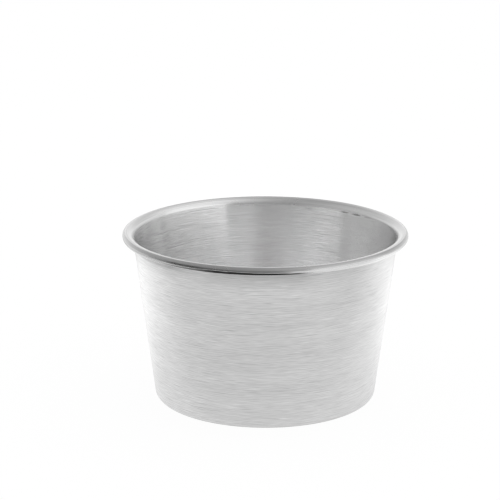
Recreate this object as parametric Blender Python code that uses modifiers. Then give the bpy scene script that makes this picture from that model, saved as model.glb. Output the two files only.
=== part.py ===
"""Panettone mould: a tapered shell spun from one aluminium sheet, its rim rolled into a
hollow bead, and the printed card disc that lies loose on its floor.
Metres, +Z up, with the origin at the centre of the underside."""

from math import asin, ceil, cos, pi, radians, sin

import bmesh
import bpy

# Mould shell
HEIGHT = 0.120  # from the table to the top of the rim
RIM_DIAMETER = 0.200  # outside, over the rolled bead
WALL_TAPER = radians(7.4)  # how far the wall leans out from upright
SHEET = 0.0008  # thickness of the sheet
CORNER_RADIUS = 0.0042  # inside, between floor and wall
NECK_RADIUS = 0.0055  # inside, where the wall turns out into the rim
BEAD_RADIUS = 0.00275  # outside, of the rolled bead
BEAD_SLIT = 0.0008  # left open between the bead's cut edge and the underside of the neck

# Card disc
CARD_THICKNESS = 0.0005
CARD_CLEARANCE = 0.0005  # round its edge, to where the floor starts to turn up
CARD_SEAT = 0.0003  # under it, because card never lies dead flat

# Facets
TURN_STEPS = 96
ARC_STEP = radians(20)  # the longest step along a bend


def arc(center, radius, start, end):
    """Points from angle start to angle end, in the (radius, height) plane."""
    count = ceil(abs(end - start) / ARC_STEP)
    angles = [start + (end - start) * i / count for i in range(count + 1)]
    return [(center[0] + radius * cos(a), center[1] + radius * sin(a)) for a in angles]


# The wall is a straight line that touches the corner's circle and the neck's
neck_center = (RIM_DIAMETER / 2 - BEAD_RADIUS, HEIGHT - NECK_RADIUS)
wall_offset = neck_center[0] * cos(WALL_TAPER) - neck_center[1] * sin(WALL_TAPER) - NECK_RADIUS
corner_height = SHEET + CORNER_RADIUS
floor_radius = (wall_offset - CORNER_RADIUS + corner_height * sin(WALL_TAPER)) / cos(WALL_TAPER)
corner_center = (floor_radius, corner_height)
bead_center = (neck_center[0], HEIGHT - BEAD_RADIUS)

# The bead rolls on until its cut edge is a slit's width from the underside of the neck
rise = NECK_RADIUS - BEAD_RADIUS
reach = NECK_RADIUS - SHEET - BEAD_SLIT
bead_end = -pi - asin((reach**2 - BEAD_RADIUS**2 - rise**2) / (2 * BEAD_RADIUS * rise))


def sheet_line(depth):
    """The sheet's line at a depth below its inner face, from the middle of the floor
    along the corner, the wall and the neck to the cut edge of the bead."""
    middle = [(0.0, SHEET - depth)]
    corner = arc(corner_center, CORNER_RADIUS + depth, -pi / 2, -WALL_TAPER)
    neck = arc(neck_center, NECK_RADIUS - depth, pi - WALL_TAPER, pi / 2)
    bead_top = arc(bead_center, BEAD_RADIUS - depth, pi / 2, 0.0)
    bead_rest = arc(bead_center, BEAD_RADIUS - depth, 0.0, bead_end)
    return middle + corner + neck + bead_top[1:] + bead_rest[1:]


def principled(name, color, metallic, roughness):
    material = bpy.data.materials.new(name)
    material.use_nodes = True
    shader = material.node_tree.nodes["Principled BSDF"]
    shader.inputs["Base Color"].default_value = (*color, 1.0)
    shader.inputs["Metallic"].default_value = metallic
    shader.inputs["Roughness"].default_value = roughness
    return material


def turned(name, profile, steps):
    """A profile of (radius, height) points turned about Z. It starts and ends on the axis."""
    mesh = bpy.data.meshes.new(name)
    bm = bmesh.new()
    points = [bm.verts.new((radius, 0.0, height)) for radius, height in profile]
    for start, end in zip(points, points[1:]):
        bm.edges.new((start, end))
    bm.to_mesh(mesh)
    bm.free()
    piece = bpy.data.objects.new(name, mesh)
    screw = piece.modifiers.new("Turn", "SCREW")
    screw.axis = "Z"
    screw.angle = 2 * pi
    screw.steps = screw.render_steps = steps
    screw.use_merge_vertices = True
    screw.merge_threshold = 0.00001
    screw.use_smooth_shade = True
    return piece


def mould_shell():
    """One sheet from floor to bead: its inner face out to the cut edge, and its outer face back."""
    outline = sheet_line(0.0) + sheet_line(SHEET)[::-1]
    shell = turned("mould_shell", outline, TURN_STEPS)
    shell.data.materials.append(principled("Spun aluminium", (0.80, 0.80, 0.81), 1.0, 0.33))
    return shell


def card_disc():
    bpy.ops.mesh.primitive_cylinder_add(
        vertices=TURN_STEPS,
        radius=floor_radius - CARD_CLEARANCE,
        depth=CARD_THICKNESS,
        location=(0.0, 0.0, SHEET + CARD_SEAT + CARD_THICKNESS / 2),
    )
    card = bpy.context.object
    card.name = card.data.name = "card_disc"
    card.data.materials.append(principled("Printed card", (0.66, 0.74, 0.80), 0.0, 0.45))
    card.data.shade_smooth()
    card.data.set_sharp_from_angle(angle=radians(30))
    return card


def main():
    for old in list(bpy.data.objects):
        bpy.data.objects.remove(old, do_unlink=True)
    collection = bpy.data.collections.new("Panettone mould")
    bpy.context.scene.collection.children.link(collection)
    shell = mould_shell()
    collection.objects.link(shell)
    card = card_disc()
    for holder in list(card.users_collection):
        holder.objects.unlink(card)
    collection.objects.link(card)
    card.parent = shell


main()
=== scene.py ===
from math import asin, ceil, cos, hypot, pi, radians, sin

import bpy
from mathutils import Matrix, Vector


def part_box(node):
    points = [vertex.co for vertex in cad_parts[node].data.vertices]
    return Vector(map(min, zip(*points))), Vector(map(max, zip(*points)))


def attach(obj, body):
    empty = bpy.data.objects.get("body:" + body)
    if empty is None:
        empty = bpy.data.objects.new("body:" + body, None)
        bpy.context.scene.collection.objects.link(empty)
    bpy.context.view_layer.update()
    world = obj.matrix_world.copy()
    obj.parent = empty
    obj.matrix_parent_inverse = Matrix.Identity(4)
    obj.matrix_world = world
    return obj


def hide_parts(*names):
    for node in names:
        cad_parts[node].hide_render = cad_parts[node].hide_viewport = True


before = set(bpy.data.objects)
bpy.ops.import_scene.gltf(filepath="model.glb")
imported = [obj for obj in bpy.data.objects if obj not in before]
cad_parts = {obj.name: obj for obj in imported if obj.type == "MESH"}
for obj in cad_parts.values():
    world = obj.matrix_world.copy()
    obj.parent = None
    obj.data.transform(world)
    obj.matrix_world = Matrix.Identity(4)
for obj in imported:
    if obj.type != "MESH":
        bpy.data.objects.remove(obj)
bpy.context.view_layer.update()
print("frame loaded:", ", ".join(sorted(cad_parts)))

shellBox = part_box("mould_shell")
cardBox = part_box("card_disc")
rimRadius = shellBox[1].x
mouldHeight = shellBox[1].z


# helpers for meshes

def clearSelection():
    if bpy.context.mode != "OBJECT":
        bpy.ops.object.mode_set(mode="OBJECT")
    bpy.ops.object.select_all(action="DESELECT")


def applyPlace():
    bpy.ops.object.transform_apply(location=True, rotation=True, scale=True)


def drawLine(name, points):
    # a line through points of (radius, height), begun as a tiny plane that is merged into the first
    clearSelection()
    bpy.ops.mesh.primitive_plane_add(size=0.001, location=(points[0][0], 0, points[0][1]))
    piece = bpy.context.object
    piece.name = piece.data.name = name
    applyPlace()
    bpy.ops.object.mode_set(mode="EDIT")
    bpy.ops.mesh.select_mode(type="VERT")
    bpy.ops.mesh.select_all(action="SELECT")
    bpy.ops.mesh.merge(type="CENTER")
    for (r, z), (nextR, nextZ) in zip(points, points[1:]):
        bpy.ops.mesh.extrude_region_move(TRANSFORM_OT_translate={"value": (nextR - r, 0, nextZ - z)})
    return piece


def spinLine(steps, angle):
    bpy.ops.mesh.select_all(action="SELECT")
    bpy.ops.mesh.spin(steps=steps, angle=angle, center=(0, 0, 0), axis=(0, 0, 1))


# helpers for materials

def newMaterial(name):
    material = bpy.data.materials.new(name)
    material.use_nodes = True
    tree = material.node_tree
    return material, tree, tree.nodes["Principled BSDF"]


def addNode(tree, kind, values=None, **settings):
    node = tree.nodes.new(kind)
    for key, value in settings.items():
        setattr(node, key, value)
    for key, value in (values or {}).items():
        if isinstance(value, bpy.types.NodeSocket):
            tree.links.new(value, node.inputs[key])
        else:
            node.inputs[key].default_value = value
    return node


def grey(level):
    return (level, level, level, 1)


def objectPlace(tree):
    return addNode(tree, "ShaderNodeTexCoord").outputs["Object"]


def axes(tree, vector):
    return addNode(tree, "ShaderNodeSeparateXYZ", {0: vector}).outputs


def mathNode(tree, operation, *values):
    return addNode(tree, "ShaderNodeMath", dict(enumerate(values)), operation=operation).outputs[0]


def product(tree, first, *others):
    for other in others:
        first = mathNode(tree, "MULTIPLY", first, other)
    return first


def oneLess(tree, value):
    return mathNode(tree, "SUBTRACT", 1.0, value)


def sumOfSquares(tree, x, y):
    return mathNode(tree, "ADD", product(tree, x, x), product(tree, y, y))


def step(tree, value, start, full, least=0.0, most=1.0):
    return addNode(tree, "ShaderNodeMapRange", {0: value, 1: start, 2: full, 3: least, 4: most}).outputs[0]


def blendLevels(tree, share, first, second):
    return addNode(tree, "ShaderNodeMix", {0: share, 2: first, 3: second}, data_type="FLOAT").outputs[0]


def levelAlong(tree, value, stops):
    # a level that goes from stop to stop, each a place and a level
    level = step(tree, value, stops[0][0], stops[1][0], stops[0][1], stops[1][1])
    for (place, first), (nextPlace, last) in zip(stops[1:], stops[2:]):
        level = mathNode(tree, "ADD", level, step(tree, value, place, nextPlace, 0.0, last - first))
    return level


def levelRound(tree, place, stops):
    # a level that changes with the azimuth, in degrees from the camera's side round to the right
    parts = axes(tree, place)
    angle = mathNode(tree, "ARCTAN2", parts["X"], product(tree, parts["Y"], -1.0))
    turn = mathNode(tree, "ADD", product(tree, angle, 0.5 / pi), 0.5)
    node = addNode(tree, "ShaderNodeValToRGB", {"Fac": turn})
    elements = node.color_ramp.elements
    while len(elements) < len(stops):
        elements.new(0.5)
    for element, (azimuth, level) in zip(elements, stops):
        element.position = azimuth / 360 + 0.5
        element.color = grey(level)
    return node.outputs["Color"]


def noise(tree, place, scale, detail, roughness=0.5):
    values = {"Vector": place, "Scale": scale, "Detail": detail, "Roughness": roughness}
    return addNode(tree, "ShaderNodeTexNoise", values).outputs["Fac"]


noiseRange = (0.3, 0.7)  # most of a noise pattern lies between these


def tone(tree, value, spread):
    # noise turned into a factor round 1
    low, high = noiseRange
    values = {0: value, 1: low, 2: high, 3: 1 - spread, 4: 1 + spread}
    return addNode(tree, "ShaderNodeMapRange", values, clamp=False).outputs[0]


def setColor(tree, shader, color, level):
    scaled = addNode(tree, "ShaderNodeVectorMath", {0: color, "Scale": level}, operation="SCALE")
    tree.links.new(scaled.outputs[0], shader.inputs["Base Color"])


def setBump(tree, shader, height, depth):
    bump = addNode(tree, "ShaderNodeBump", {"Strength": 1.0, "Distance": depth, "Height": height})
    tree.links.new(bump.outputs[0], shader.inputs["Normal"])


def setSurface(tree, surface):
    tree.links.new(surface, tree.nodes["Material Output"].inputs["Surface"])


# camera, from a fit to the outline of the mould in the picture

cameraSettings = {
    "distance": 1.3729,  # from the mould's axis, along the floor
    "height": 0.4824,
    "pitch": radians(15.365),
    "yaw": radians(0.447),
    "lens": 146.0,
    "sensor": 36.0,
    "farthest": 50.0,
}


def makeCamera(s):
    place = (0, -s["distance"], s["height"])
    bpy.ops.object.camera_add(location=place, rotation=(pi / 2 - s["pitch"], 0, s["yaw"]))
    camera = bpy.context.object
    camera.name = "photoCamera"
    camera.data.lens = s["lens"]
    camera.data.sensor_width = s["sensor"]
    camera.data.clip_end = s["farthest"]
    bpy.context.scene.camera = camera


# studio: white floor and surroundings, soft boxes at both sides, dark cards that only shiny surfaces see

studio = {
    "mirrorBounces": 10,  # light runs round inside the mould
    "pixelFilter": 1.2,  # crisp lines, as in the picture
    "ambient": 1.15,  # what the surroundings give to matt surfaces
    "floorSize": 16.0,
    "floorDrop": 0.0002,
    "floorColor": 0.90,
    "floorRoughness": 0.7,
    "floorSeen": 0.95,  # share of plain white in the floor, as the camera sees it
    # how bright the metal sees the floor, from the front of the mould to the back, then from left to right
    "mirrored": ((-0.10, 0.72), (0.02, 0.93), (0.08, 1.06), (0.18, 1.22), (0.24, 1.22), (0.34, 0.98)),
    "mirroredAcross": ((-0.28, 0.94), (-0.22, 1.0), (0.205, 1.0), (0.23, 0.90), (0.285, 0.92)),
    # and once more from left to right behind the mould: where that begins, and its levels
    "behindStart": (0.12, 0.17),
    "mirroredBehind": ((-0.16, 1.0), (-0.09, 0.66), (0.09, 0.66), (0.16, 1.0)),
}

# how bright the metal sees the surroundings: the sine of a height above the horizon, then a
# level for some azimuths, in degrees from the camera's side round to the right
surroundings = (
    (0.05, ((-180, 1.00), (-150, 0.90), (-130, 0.76), (-108, 0.60), (-70, 0.46), (-46, 0.50), (-34, 0.42),
            (-24, 0.36), (0, 0.38), (12, 0.385), (22, 0.365), (30, 0.40), (33, 0.66), (80, 0.68), (104, 0.68),
            (108, 0.88), (150, 0.92), (180, 1.00))),
    (0.14, ((-180, 1.00), (-150, 0.84), (-130, 0.70), (-108, 0.62), (-92, 0.55), (-70, 0.50), (-46, 0.50),
            (-34, 0.42), (-24, 0.36), (0, 0.38), (22, 0.37), (35, 0.42), (38, 0.68), (80, 0.70), (104, 0.70),
            (108, 0.88), (122, 0.90), (138, 0.80), (156, 0.85), (180, 1.00))),
    (0.50, ((-180, 0.48), (-165, 0.62), (-145, 0.70), (-130, 0.69), (-108, 0.67), (-92, 0.60), (-70, 0.52),
            (-50, 0.46), (-30, 0.37), (0, 0.40), (35, 0.49), (38, 0.60), (80, 0.68), (104, 0.80), (108, 0.90),
            (120, 0.93), (138, 0.77), (150, 0.72), (168, 0.56), (180, 0.48))),
    (0.77, ((-180, 0.38), (-150, 0.38), (-120, 0.54), (-90, 0.52), (-60, 0.45), (-25, 0.37), (0, 0.48),
            (25, 0.70), (50, 0.94), (80, 1.02), (125, 1.00), (155, 0.72), (170, 0.50), (180, 0.38))),
    (0.94, ((-180, 0.42), (-140, 0.34), (-90, 0.35), (-45, 0.36), (-10, 0.46), (25, 0.72), (60, 0.92),
            (100, 1.00), (130, 0.90), (158, 0.66), (180, 0.42))),
    (1.00, ((-180, 0.50), (180, 0.50))),
)


def raysSeen(tree, cameraShare):
    # a share for the camera's rays, 1 for those of metal and glass, 0 for matt light
    path = addNode(tree, "ShaderNodeLightPath").outputs
    shiny = mathNode(tree, "MAXIMUM", path["Is Glossy Ray"], path["Is Transmission Ray"])
    return mathNode(tree, "MAXIMUM", product(tree, path["Is Camera Ray"], cameraShare), shiny)


def makeWorld(s):
    world = bpy.data.worlds.new("whiteStudio")
    bpy.context.scene.world = world
    world.use_nodes = True
    tree = world.node_tree
    tree.nodes.clear()
    direction = addNode(tree, "ShaderNodeTexCoord").outputs["Generated"]
    height = axes(tree, direction)["Z"]
    level = levelRound(tree, direction, surroundings[0][1])
    for (below, _), (above, stops) in zip(surroundings, surroundings[1:]):
        share = step(tree, height, below, above)
        level = blendLevels(tree, share, level, levelRound(tree, direction, stops))
    camera = addNode(tree, "ShaderNodeLightPath").outputs["Is Camera Ray"]
    level = mathNode(tree, "MAXIMUM", level, camera)
    matt = addNode(tree, "ShaderNodeBackground", {"Color": grey(1), "Strength": s["ambient"]}).outputs[0]
    seen = addNode(tree, "ShaderNodeBackground", {"Color": grey(1), "Strength": level}).outputs[0]
    mix = addNode(tree, "ShaderNodeMixShader", {0: raysSeen(tree, 1.0), 1: matt, 2: seen})
    addNode(tree, "ShaderNodeOutputWorld", {"Surface": mix.outputs[0]})


def makeFloor(s):
    clearSelection()
    bpy.ops.mesh.primitive_plane_add(size=s["floorSize"], location=(0, 0, -s["floorDrop"]))
    floor = bpy.context.object
    floor.name = "studioFloor"
    material, tree, shader = newMaterial("whiteFloor")
    shader.inputs["Base Color"].default_value = grey(s["floorColor"])
    shader.inputs["Roughness"].default_value = s["floorRoughness"]
    shader.inputs["Specular IOR Level"].default_value = 0.2
    parts = axes(tree, objectPlace(tree))
    behind = blendLevels(tree, step(tree, parts["Y"], *s["behindStart"]), 1.0,
                         levelAlong(tree, parts["X"], s["mirroredBehind"]))
    mirrored = product(tree, levelAlong(tree, parts["Y"], s["mirrored"]),
                       levelAlong(tree, parts["X"], s["mirroredAcross"]), behind)
    camera = addNode(tree, "ShaderNodeLightPath").outputs["Is Camera Ray"]
    strength = blendLevels(tree, camera, mirrored, 1.0)
    glow = addNode(tree, "ShaderNodeEmission", {"Color": grey(1), "Strength": strength}).outputs[0]
    share = raysSeen(tree, s["floorSeen"])
    mix = addNode(tree, "ShaderNodeMixShader", {0: share, 1: shader.outputs[0], 2: glow})
    setSurface(tree, mix.outputs[0])
    floor.data.materials.append(material)


# azimuths run in degrees from the camera's side round to the right
softBoxes = {
    "rightBoxLow": {
        "azimuth": 69.5,
        "distance": 1.0,
        "height": 0.105,
        "size": (1.518, 0.17),
        "level": 0.40,
    },
    "rightBoxHigh": {
        "azimuth": 71.6,
        "distance": 1.0,
        "height": 0.605,
        "size": (1.406, 0.83),
        "level": 0.44,
    },
    "leftBackBox": {
        "azimuth": -140,
        "distance": 1.0,
        "height": 0.24,
        "size": (0.90, 0.36),
        "level": 0.09,
    },
}

darkCardSteps = 24
darkCards = {
    "flagBelow": {
        "line": [(0.118, 0.100), (0.95, 0.100)],
        "azimuth": (-90, 13.5),
        "levels": ((-90, 0.80), (-74, 0.52), (-60, 0.38), (-50, 0.26), (-43, 0.09), (-36, 0.05), (-10, 0.05),
                   (6, 0.10), (13.5, 0.30)),
    },
    "flagBeside": {
        "line": [(0.155, 0.100), (0.155, 0.150)],
        "azimuth": (-74, 12.5),
        "levels": ((-74, 0.50), (-60, 0.26), (-53, 0.05), (-38, 0.04), (-26, 0.12), (5, 0.20), (12.5, 0.35)),
    },
    # a pale apron under the bead: the wall sees it in place of the flags, and the bead looks through it
    "apron": {
        "line": [(0.1006, 0.1134), (0.1178, 0.1002)],
        "azimuth": (-105, 40),
        "levels": ((-105, 0.64), (40, 0.64)),
        "oneSided": True,
    },
}


def makeSoftBox(name, s):
    a = radians(s["azimuth"])
    width, height = s["size"]
    place = (s["distance"] * sin(a), -s["distance"] * cos(a), s["height"])
    bpy.ops.object.light_add(type="AREA", location=place, rotation=(pi / 2, 0, a))
    lamp = bpy.context.object
    lamp.name = name
    lamp.data.shape = "RECTANGLE"
    lamp.data.size, lamp.data.size_y = width, height
    lamp.data.energy = s["level"] * width * height * pi  # its face then shows at that level
    lamp.visible_camera = False


def makeDarkCard(name, s):
    # a line of (radius, height) swept round the mould through a range of azimuths
    piece = drawLine(name, s["line"])
    first, last = s["azimuth"]
    spinLine(darkCardSteps, radians(first - last))
    bpy.ops.object.mode_set(mode="OBJECT")
    piece.rotation_euler.z = radians(first - 90)  # the line was drawn at an azimuth of 90
    applyPlace()
    material, tree, shader = newMaterial(name)
    level = levelRound(tree, objectPlace(tree), s["levels"])
    surface = addNode(tree, "ShaderNodeEmission", {"Color": grey(1), "Strength": level}).outputs[0]
    if "oneSided" in s:
        back = addNode(tree, "ShaderNodeNewGeometry").outputs["Backfacing"]
        clear = addNode(tree, "ShaderNodeBsdfTransparent").outputs[0]
        surface = addNode(tree, "ShaderNodeMixShader", {0: back, 1: clear, 2: surface}).outputs[0]
    setSurface(tree, surface)
    piece.data.materials.append(material)
    piece.visible_camera = piece.visible_diffuse = piece.visible_shadow = False


bpy.context.scene.cycles.glossy_bounces = studio["mirrorBounces"]
bpy.context.scene.cycles.filter_width = studio["pixelFilter"]
makeCamera(cameraSettings)
makeWorld(studio)
makeFloor(studio)
for boxName, boxSettings in softBoxes.items():
    makeSoftBox(boxName, boxSettings)
for cardName, cardSettings in darkCards.items():
    makeDarkCard(cardName, cardSettings)
print("studio ready")


# mould shell: one sheet, turned from its inner line and given its thickness

shell = {
    "taper": radians(7.4),
    "sheet": 0.0008,
    "cornerRadius": 0.0042,
    "neckRadius": 0.0055,
    "beadRadius": 0.00275,
    "beadSlit": 0.0008,
    "bendStep": radians(6),
    "rollStep": radians(9.6),
    "floorRows": 10,
    "wallRows": 96,
    "turnSteps": 288,
    "mergeWithin": 0.000002,
    "smoothAngle": radians(40),
    # how far the spinning tool's rings stand out, then the length and the turn of each of their waves
    "ridge": 0.000006,
    "ringWaves": ((0.0023, 0.3), (0.0037, 1.7), (0.0061, 4.1), (0.0140, 2.2)),
}


def bend(center, radius, start, end, turn):
    count = ceil(abs(end - start) / turn)
    angles = [start + (end - start) * i / count for i in range(count + 1)]
    return [(center[0] + radius * cos(a), center[1] + radius * sin(a)) for a in angles]


def between(first, last, rows):
    shares = [i / rows for i in range(1, rows)]
    return [(first[0] + (last[0] - first[0]) * t, first[1] + (last[1] - first[1]) * t) for t in shares]


def toolRings(height, s):
    return s["ridge"] * sum(sin(2 * pi * height / length + turn) for length, turn in s["ringWaves"])


def innerLine(s):
    taper, neck, bead = s["taper"], s["neckRadius"], s["beadRadius"]
    neckCenter = (rimRadius - bead, mouldHeight - neck)
    wallOffset = neckCenter[0] * cos(taper) - neckCenter[1] * sin(taper) - neck
    cornerHeight = s["sheet"] + s["cornerRadius"]
    floorRadius = (wallOffset - s["cornerRadius"] + cornerHeight * sin(taper)) / cos(taper)
    beadCenter = (neckCenter[0], mouldHeight - bead)
    rise, reach = neck - bead, neck - s["sheet"] - s["beadSlit"]
    beadEnd = -pi - asin((reach**2 - bead**2 - rise**2) / (2 * bead * rise))
    corner = bend((floorRadius, cornerHeight), s["cornerRadius"], -pi / 2, -taper, s["bendStep"])
    lip = bend(neckCenter, neck, pi - taper, pi / 2, s["bendStep"])
    roll = bend(beadCenter, bead, pi / 2, beadEnd, s["rollStep"])[1:]
    middle = (0.0, s["sheet"])
    floor = [middle] + between(middle, corner[0], s["floorRows"])
    wall = [(r + toolRings(z, s), z) for r, z in between(corner[-1], lip[0], s["wallRows"])]
    return floor + corner + wall + lip + roll, len(floor + corner + wall)


def micrometres(length):
    return round(length * 1e6)


def markAlong(mesh, points):
    # how far each point lies from the middle of the floor, along the sheet
    lengths = [0.0]
    for (r, z), (nextR, nextZ) in zip(points, points[1:]):
        lengths.append(lengths[-1] + hypot(nextR - r, nextZ - z))
    rows = {(micrometres(r), micrometres(z)): length for (r, z), length in zip(points, lengths)}
    along = mesh.attributes.new("along", "FLOAT", "POINT")
    missed = 0
    for vertex, value in zip(mesh.vertices, along.data):
        r, z = micrometres(hypot(vertex.co.x, vertex.co.y)), micrometres(vertex.co.z)
        near = [(r + i, z + j) for i in (0, 1, -1) for j in (0, 1, -1)]
        found = [rows[key] for key in near if key in rows]
        value.value = found[0] if found else 0.0
        missed += not found
    print("points without a row:", missed)


def makeShell(s):
    points, wallEnd = innerLine(s)
    piece = drawLine("mouldShell", points)
    spinLine(s["turnSteps"], 2 * pi)
    bpy.ops.mesh.select_all(action="SELECT")
    bpy.ops.mesh.remove_doubles(threshold=s["mergeWithin"])
    bpy.ops.mesh.normals_make_consistent(inside=False)
    bpy.ops.object.mode_set(mode="OBJECT")
    markAlong(piece.data, points)
    neckHeight = points[wallEnd][1]
    for name in ("insideAluminium", "rimAluminium", "outsideAluminium", "rimAluminium"):
        piece.data.materials.append(bpy.data.materials.get(name) or spunMetal(name, metals[name]))
    for face in piece.data.polygons:
        face.material_index = 1 if face.center.z > neckHeight else 0
    sheet = piece.modifiers.new("sheet", "SOLIDIFY")
    sheet.thickness = s["sheet"]
    sheet.offset = -1
    sheet.use_even_offset = True
    sheet.use_quality_normals = True
    sheet.material_offset = 2  # the outer side takes the third and fourth materials
    bpy.ops.object.modifier_apply(modifier="sheet")
    bpy.ops.object.shade_smooth_by_angle(angle=s["smoothAngle"])
    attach(piece, "mould")
    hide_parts("mould_shell")


# aluminium: fine lines left by the spinning tool, running round the mould; lengths along the sheet
# are measured from the middle of the floor

metals = {
    "insideAluminium": {
        # lighter than the outside's and the rim's: painted light on the same sheet
        "color": (0.88, 0.88, 0.88),
        "roughness": 0.21,
        "anisotropic": 1.0,
        # changes in a metre along the lines, then across them, and how far they change the tone
        "fineLines": (105.0, 2100.0, 0.08),
        "longLines": (42.0, 1500.0, 0.25),
        "lineDepth": 0.000006,
        "bandTone": 0.02,
        # how strong the lines are round the mould
        "linesRound": ((-180, 0.39), (-168, 0.44), (-162, 0.74), (-140, 0.94), (-100, 1.0), (0, 0.66),
                       (95, 0.27), (138, 0.30), (142, 1.0), (163, 1.0), (168, 0.44), (180, 0.39)),
        # scuffs where the neck meets the wall: azimuth, place along the sheet, half length, half width, depth
        "scuffs": ((140.5, 0.1904, 0.0034, 0.0008, 0.42), (133.6, 0.1903, 0.0048, 0.0008, 0.50),
                   (125.6, 0.1907, 0.0045, 0.0005, 0.25)),
    },
    "outsideAluminium": {
        "color": (0.79, 0.79, 0.79),
        "roughness": 0.32,
        "anisotropic": 0.6,
        "fineLines": (105.0, 2500.0, 0.09),
        "longLines": (60.0, 1900.0, 0.14),
        "lineDepth": 0.000006,
        "bandTone": 0.03,
        "linesRound": ((-180, 1.0), (18, 1.0), (32, 0.8), (62, 0.8), (90, 1.0), (180, 1.0)),
        # painted shade along the sheet, darker towards the corner under the bead, and how much of it there is
        # round the mould
        "paintedLightAlong": ((0.1768, 1.0), (0.1829, 0.88), (0.1862, 0.82), (0.1884, 0.80), (0.1890, 0.56)),
        "toneRound": ((-180, 0.4), (-75, 0.5), (-62, 0.8), (-44, 0.8), (-36, 0.35), (-26, 0.5), (-16, 1.0),
                      (14, 1.0), (24, 0.15), (60, 0.15), (90, 0.4), (180, 0.4)),
        # painted shade close under the bead at the left: where it starts, and its level round the mould
        "paintedShades": (
            ((0.1851, 0.1864), ((-100, 1.0), (-72, 0.72), (-60, 0.76), (-53, 0.80), (-43, 0.74), (-38, 0.88),
                                (-32, 1.0))),
        ),
    },
    "rimAluminium": {
        "color": (0.77, 0.77, 0.77),
        "roughness": 0.27,
        "anisotropic": 0.8,
        "fineLines": (14.0, 2300.0, 0.06),
        "longLines": (10.0, 1400.0, 0.08),
        "lineDepth": 0.000004,
        "bandTone": 0.01,
        # painted highlight and shade from the neck over the bead to its underside, and where the bead's top
        # is worn matt
        "paintedLightAlong": ((0.1960, 1.0), (0.1970, 1.16), (0.1996, 1.16), (0.2001, 0.60), (0.2006, 0.54),
                      (0.2018, 0.54), (0.2027, 0.84), (0.2033, 1.24)),
        "worn": ((0.1996, 0.0), (0.2003, 0.20), (0.2018, 0.20), (0.2027, 0.0)),
        # how much there is of both round the rim
        "toneRound": ((-120, 1.0), (-90, 0.5), (-70, 0.5), (-52, 1.0), (55, 1.0), (73, 0.5), (90, 0.5),
                      (120, 1.0)),
        # painted shade: the bead's lower half is darker at both sides, and its underside at the left
        "paintedShades": (
            ((0.2026, 0.2033), ((-180, 0.92), (-105, 0.57), (-72, 0.57), (-60, 0.72), (-48, 0.92), (10, 0.92),
                                (20, 1.0), (50, 1.0), (68, 0.74), (105, 0.63), (180, 0.92))),
            ((0.2050, 0.2056), ((-100, 1.0), (-70, 0.66), (-62, 0.60), (-40, 0.60), (-33, 1.0))),
        ),
    },
}

# what the three finishes share: a shift that keeps each pattern apart from the others, and the
# levels of noise over which its light or dark lines come up
spinning = {
    "lineDetail": 1,
    "lineRoughness": 0.6,
    "lightShift": 40.0,
    "lightFrom": (0.60, 0.72),
    "darkShift": 90.0,
    "darkFrom": (0.40, 0.28),
    "darkStretch": (0.85, 0.9),  # changes along and across the dark lines, as shares of the light ones'
    "bandLines": (9.0, 130.0, 17.0),  # changes along, changes across and shift
    "cloudScale": 14,
    "cloudDetail": 3,
    "cloudTone": 0.012,
    "cloudRoughness": 0.12,
}

# painted shade under the bead, a black line for the gap against the wall in shade: where it starts along
# the sheet, how ragged its edge is, how much of it there is round the rim, by how much and where it is
# wider, and its level beside the rest of the metal's
beadShadeLine = {
    "from": (0.2040, 0.2046),
    "ragged": 0.0006,
    "raggedScale": 160,
    "raggedDetail": 2,
    "cover": ((-62, 0.0), (-50, 0.35), (-44, 0.45), (-38, 0.7), (-28, 0.85), (-18, 1.0), (4, 1.0), (13, 0.85),
              (20, 0.1), (24, 0.0)),
    "wider": 0.0010,
    "widest": ((-34, 0.0), (-22, 0.5), (-10, 0.5), (0, 0.2), (10, 0.0)),
    "level": 0.02,
}

# a scuff's ragged edge: how far grain moves it and where it fades, as squared shares of the half sizes
scuffEdge = {
    "grainScale": 700,
    "grainDetail": 2,
    "grain": 0.8,
    "fade": (1.5, 0.7),
    "sideFade": 0.01,  # only the mould's side at its azimuth has the scuff
}


def alongSheet(tree):
    return addNode(tree, "ShaderNodeAttribute", attribute_name="along").outputs["Fac"]


def lineNoise(tree, length, count, shift=0.0):
    # a pattern that changes slowly round the mould and fast across the lines
    parts = axes(tree, objectPlace(tree))
    across = mathNode(tree, "ADD", product(tree, alongSheet(tree), count), shift)
    values = {"X": product(tree, parts["X"], length), "Y": product(tree, parts["Y"], length), "Z": across}
    spot = addNode(tree, "ShaderNodeCombineXYZ", values).outputs[0]
    return noise(tree, spot, 1, spinning["lineDetail"], spinning["lineRoughness"])


def beadShadeCover(tree, s):
    # where the painted shade line under the bead lies
    place = objectPlace(tree)
    ragged = product(tree, noise(tree, place, s["raggedScale"], s["raggedDetail"]), s["ragged"])
    wider = product(tree, levelRound(tree, place, s["widest"]), s["wider"])
    edge = mathNode(tree, "ADD", mathNode(tree, "ADD", alongSheet(tree), ragged), wider)
    return product(tree, step(tree, edge, *s["from"]), levelRound(tree, place, s["cover"]))


def distanceTowards(tree, place, direction):
    values = {0: place, 1: direction}
    return addNode(tree, "ShaderNodeVectorMath", values, operation="DOT_PRODUCT").outputs["Value"]


def scuffCover(tree, marks, s):
    place = objectPlace(tree)
    grain = product(tree, noise(tree, place, s["grainScale"], s["grainDetail"]), s["grain"])
    cover = 0.0
    for azimuth, along, length, width, depth in marks:
        a = radians(azimuth)
        beside = distanceTowards(tree, place, (cos(a), sin(a), 0))
        towards = distanceTowards(tree, place, (sin(a), -cos(a), 0))
        x = mathNode(tree, "DIVIDE", beside, length)
        z = mathNode(tree, "DIVIDE", mathNode(tree, "SUBTRACT", alongSheet(tree), along), width)
        far = mathNode(tree, "ADD", sumOfSquares(tree, x, z), grain)
        nearSide = step(tree, towards, 0.0, s["sideFade"], 0.0, depth)
        cover = mathNode(tree, "MAXIMUM", cover, product(tree, step(tree, far, *s["fade"]), nearSide))
    return cover


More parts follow.
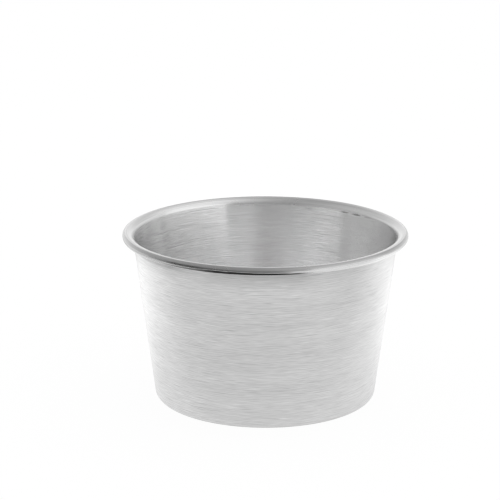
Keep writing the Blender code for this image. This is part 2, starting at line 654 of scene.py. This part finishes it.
def spunMetal(name, s):
    material, tree, shader = newMaterial(name)
    place = objectPlace(tree)
    length, count, fineTone = s["fineLines"]
    fine = lineNoise(tree, length, count)
    length, count, longTone = s["longLines"]
    light = lineNoise(tree, length, count, spinning["lightShift"])
    alongStretch, acrossStretch = spinning["darkStretch"]
    dark = lineNoise(tree, length * alongStretch, count * acrossStretch, spinning["darkShift"])
    bands = lineNoise(tree, *spinning["bandLines"])
    cloud = noise(tree, place, spinning["cloudScale"], spinning["cloudDetail"])
    level = product(tree, tone(tree, fine, fineTone), tone(tree, cloud, spinning["cloudTone"]),
                    tone(tree, bands, s["bandTone"]))
    level = mathNode(tree, "ADD", level, step(tree, light, *spinning["lightFrom"], 0.0, longTone))
    level = mathNode(tree, "SUBTRACT", level, step(tree, dark, *spinning["darkFrom"], 0.0, longTone))
    if "linesRound" in s:
        level = blendLevels(tree, levelRound(tree, place, s["linesRound"]), 1.0, level)
    # painted highlight and shade along the sheet, in the share given round the mould
    if "paintedLightAlong" in s:
        paintedLightAlong = levelAlong(tree, alongSheet(tree), s["paintedLightAlong"])
        share = levelRound(tree, place, s["toneRound"])
        level = product(tree, level, blendLevels(tree, share, 1.0, paintedLightAlong))
    # painted shade in stretches along the sheet, with its level round the mould
    for (start, full), stops in s.get("paintedShades", ()):
        share = step(tree, alongSheet(tree), start, full)
        level = product(tree, level, blendLevels(tree, share, 1.0, levelRound(tree, place, stops)))
    if "scuffs" in s:
        level = product(tree, level, oneLess(tree, scuffCover(tree, s["scuffs"], scuffEdge)))
    shader.inputs["Metallic"].default_value = 1.0
    if "worn" in s:
        worn = levelAlong(tree, alongSheet(tree), s["worn"])
        worn = product(tree, worn, levelRound(tree, place, s["toneRound"]))
        # the black line under the bead is painted shade, with no metal in it
        clearOfShade = oneLess(tree, beadShadeCover(tree, beadShadeLine))
        level = product(tree, level, mathNode(tree, "MAXIMUM", clearOfShade, beadShadeLine["level"]))
        tree.links.new(product(tree, clearOfShade, oneLess(tree, worn)), shader.inputs["Metallic"])
        shader.inputs["Specular IOR Level"].default_value = 0.1
    setColor(tree, shader, s["color"], level)
    rough = product(tree, tone(tree, cloud, spinning["cloudRoughness"]), s["roughness"])
    tree.links.new(rough, shader.inputs["Roughness"])
    shader.inputs["Anisotropic"].default_value = s["anisotropic"]
    shader.inputs["Anisotropic Rotation"].default_value = 0.25
    height = mathNode(tree, "ADD", fine, mathNode(tree, "SUBTRACT", dark, light))
    setBump(tree, shader, height, s["lineDepth"])
    return material


makeShell(shell)
print("shell turned")


# printed card, loose on the floor: a print side whose ground is lightened as painted light, a white
# cut edge and a grey board side

card = {
    "steps": 256,
    "insets": (0.0008, 0.0030, 0.0070, 0.0120, 0.0120, 0.0120, 0.0120),
    "edgeRound": 0.00004,
    "edgeSegments": 2,
    "edgeAngle": radians(50),
    "waviness": 0.00012,
    "waveScale": 0.06,
    "smoothAngle": radians(30),
}

inks = {
    # lighter than the card's own: painted light against the shade inside the mould
    "ground": (0.80, 0.86, 0.90),
    "pale": (0.91, 0.92, 0.92),
    "ring": (0.62, 0.34, 0.45),
    "line": (0.22, 0.36, 0.50),
    "dots": (0.70, 0.50, 0.30),
    "petals": (0.88, 0.66, 0.72),
    "leaves": (0.32, 0.50, 0.50),
    "heart": (0.78, 0.62, 0.40),
}

# the print from the outside in, with radii and sizes in metres
layout = {
    "edge": 0.00008,  # half the width over which one ink gives way to the next
    "scallops": (0.0690, 0.0012, 36),  # middle radius, depth and count
    "band": (0.0620, 0.0655),  # inner and outer radius
    "bandDots": (0.06375, 60, 0.0008),  # radius of their ring, count and radius
    "thinRing": (0.0584, 0.0590),
    "dots": (0.0520, 24, 0.0014),
    "leaves": (0.0380, 8, 0.0085, 0.0032),  # radius of their ring, count, half length and half width
    "veins": (0.0380, 8, 0.0085, 0.0003),
    "rosette": (0.0235, 0.0060, 8),
    "outline": 0.0006,
    "petalFolds": (0.0165, 8, 0.0070, 0.0010, 0.5),
    "heart": 0.0062,
    "heartDots": (0.0042, 8, 0.0006),
}

# paper: its fibres, and soft clouds that change the tone half as far
paper = {
    "fibreDetail": 6,
    "fibreRoughness": 0.65,
    "cloudScale": 40,
    "cloudDetail": 3,
}

# each side of the board: scale of its fibres, how far they change the tone, and their depth
boardSides = {
    "printedCard": {
        "scale": 900,
        "spread": 0.035,
        "depth": 0.000010,
        "roughness": (0.42, 0.54),
    },
    "cutEdge": {
        "scale": 2600,
        "spread": 0.10,
        "depth": 0.00003,
        "roughness": 0.85,
        "color": (0.80, 0.78, 0.74),
    },
    "greyBoard": {
        "scale": 700,
        "spread": 0.12,
        "depth": 0.00003,
        "roughness": 0.90,
        "color": (0.46, 0.44, 0.41),
    },
}


def within(tree, value, reach):
    # 1 where the value is less than the reach, with a soft edge
    return step(tree, mathNode(tree, "SUBTRACT", value, reach), layout["edge"], -layout["edge"])


def ringMask(tree, radius, inner, outer):
    off = mathNode(tree, "ABSOLUTE", mathNode(tree, "SUBTRACT", radius, (inner + outer) / 2))
    return within(tree, off, (outer - inner) / 2)


def sectorOffset(tree, angle, radius, count, shift):
    # how far, along the arc, a place is from the middle of its sector; with a shift of 0.5 the first
    # middle is on the X axis
    turn = mathNode(tree, "ADD", product(tree, angle, count / (2 * pi)), shift)
    off = mathNode(tree, "SUBTRACT", mathNode(tree, "FRACT", turn), 0.5)
    return product(tree, off, 2 * pi * radius / count)


def ringOfDots(tree, radius, angle, middle, count, size):
    across = sectorOffset(tree, angle, middle, count, 0.5)
    out = mathNode(tree, "SUBTRACT", radius, middle)
    return within(tree, mathNode(tree, "SQRT", sumOfSquares(tree, across, out)), size)


def ringOfLeaves(tree, radius, angle, middle, count, length, width, shift=0.0):
    across = mathNode(tree, "ABSOLUTE", sectorOffset(tree, angle, middle, count, shift))
    out = mathNode(tree, "DIVIDE", mathNode(tree, "SUBTRACT", radius, middle), length)
    return within(tree, across, product(tree, oneLess(tree, product(tree, out, out)), width))


def scalloped(tree, angle, middle, depth, count):
    wave = mathNode(tree, "COSINE", product(tree, angle, count))
    return mathNode(tree, "ADD", product(tree, wave, depth), middle)


def paperGrain(tree, shader, color, s):
    place = objectPlace(tree)
    fibre = noise(tree, place, s["scale"], paper["fibreDetail"], paper["fibreRoughness"])
    cloud = noise(tree, place, paper["cloudScale"], paper["cloudDetail"])
    level = product(tree, tone(tree, fibre, s["spread"]), tone(tree, cloud, s["spread"] / 2))
    setColor(tree, shader, color, level)
    setBump(tree, shader, fibre, s["depth"])
    return cloud


def printedSide(name):
    material, tree, shader = newMaterial(name)
    parts = axes(tree, objectPlace(tree))
    radius = mathNode(tree, "SQRT", sumOfSquares(tree, parts["X"], parts["Y"]))
    angle = mathNode(tree, "ARCTAN2", parts["Y"], parts["X"])
    scallops = scalloped(tree, angle, *layout["scallops"])
    petals = scalloped(tree, angle, *layout["rosette"])
    innerPetals = mathNode(tree, "SUBTRACT", petals, layout["outline"])
    marks = (
        ("pale", oneLess(tree, within(tree, radius, scallops))),
        ("ring", ringMask(tree, radius, *layout["band"])),
        ("pale", ringOfDots(tree, radius, angle, *layout["bandDots"])),
        ("line", ringMask(tree, radius, *layout["thinRing"])),
        ("dots", ringOfDots(tree, radius, angle, *layout["dots"])),
        ("leaves", ringOfLeaves(tree, radius, angle, *layout["leaves"])),
        ("pale", ringOfLeaves(tree, radius, angle, *layout["veins"])),
        ("line", within(tree, radius, petals)),
        ("petals", within(tree, radius, innerPetals)),
        ("ring", ringOfLeaves(tree, radius, angle, *layout["petalFolds"])),
        ("heart", within(tree, radius, layout["heart"])),
        ("line", ringOfDots(tree, radius, angle, *layout["heartDots"])),
    )
    color = (*inks["ground"], 1)
    for ink, mask in marks:
        values = {0: mask, 6: color, 7: (*inks[ink], 1)}
        color = addNode(tree, "ShaderNodeMix", values, data_type="RGBA").outputs[2]
    cloud = paperGrain(tree, shader, color, boardSides[name])
    rough = step(tree, cloud, *noiseRange, *boardSides[name]["roughness"])
    tree.links.new(rough, shader.inputs["Roughness"])
    shader.inputs["Coat Weight"].default_value = 0.15
    shader.inputs["Coat Roughness"].default_value = 0.3
    return material


def plainBoard(name):
    material, tree, shader = newMaterial(name)
    paperGrain(tree, shader, boardSides[name]["color"], boardSides[name])
    shader.inputs["Roughness"].default_value = boardSides[name]["roughness"]
    shader.inputs["Specular IOR Level"].default_value = 0.3
    return material


def makeCard(s):
    low, high = cardBox
    clearSelection()
    bpy.ops.mesh.primitive_circle_add(
        vertices=s["steps"], radius=high.x, fill_type="NGON", location=(0, 0, high.z), enter_editmode=True
    )
    for width in s["insets"]:
        bpy.ops.mesh.inset(thickness=width)
    bpy.ops.mesh.poke()
    bpy.ops.object.mode_set(mode="OBJECT")
    applyPlace()
    piece = bpy.context.object
    piece.name = piece.data.name = "printedCard"
    for material in (printedSide("printedCard"), plainBoard("cutEdge"), plainBoard("greyBoard")):
        piece.data.materials.append(material)
    board = piece.modifiers.new("board", "SOLIDIFY")
    board.thickness = high.z - low.z
    board.offset = -1
    board.material_offset = 2
    board.material_offset_rim = 1
    rounding = piece.modifiers.new("rounding", "BEVEL")
    rounding.width = s["edgeRound"]
    rounding.segments = s["edgeSegments"]
    rounding.limit_method = "ANGLE"
    rounding.angle_limit = s["edgeAngle"]
    swell = piece.modifiers.new("swell", "DISPLACE")
    swell.texture = bpy.data.textures.new("boardSwell", "CLOUDS")
    swell.texture.noise_scale = s["waveScale"]
    swell.texture_coords = "LOCAL"
    swell.direction = "Z"
    swell.mid_level = 0.5
    swell.strength = s["waviness"]
    for name in ("board", "rounding", "swell"):
        bpy.ops.object.modifier_apply(modifier=name)
    bpy.ops.object.shade_smooth_by_angle(angle=s["smoothAngle"])
    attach(piece, "card")
    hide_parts("card_disc")


makeCard(card)
print("card printed")

bpy.context.scene.view_settings.view_transform = "Standard"
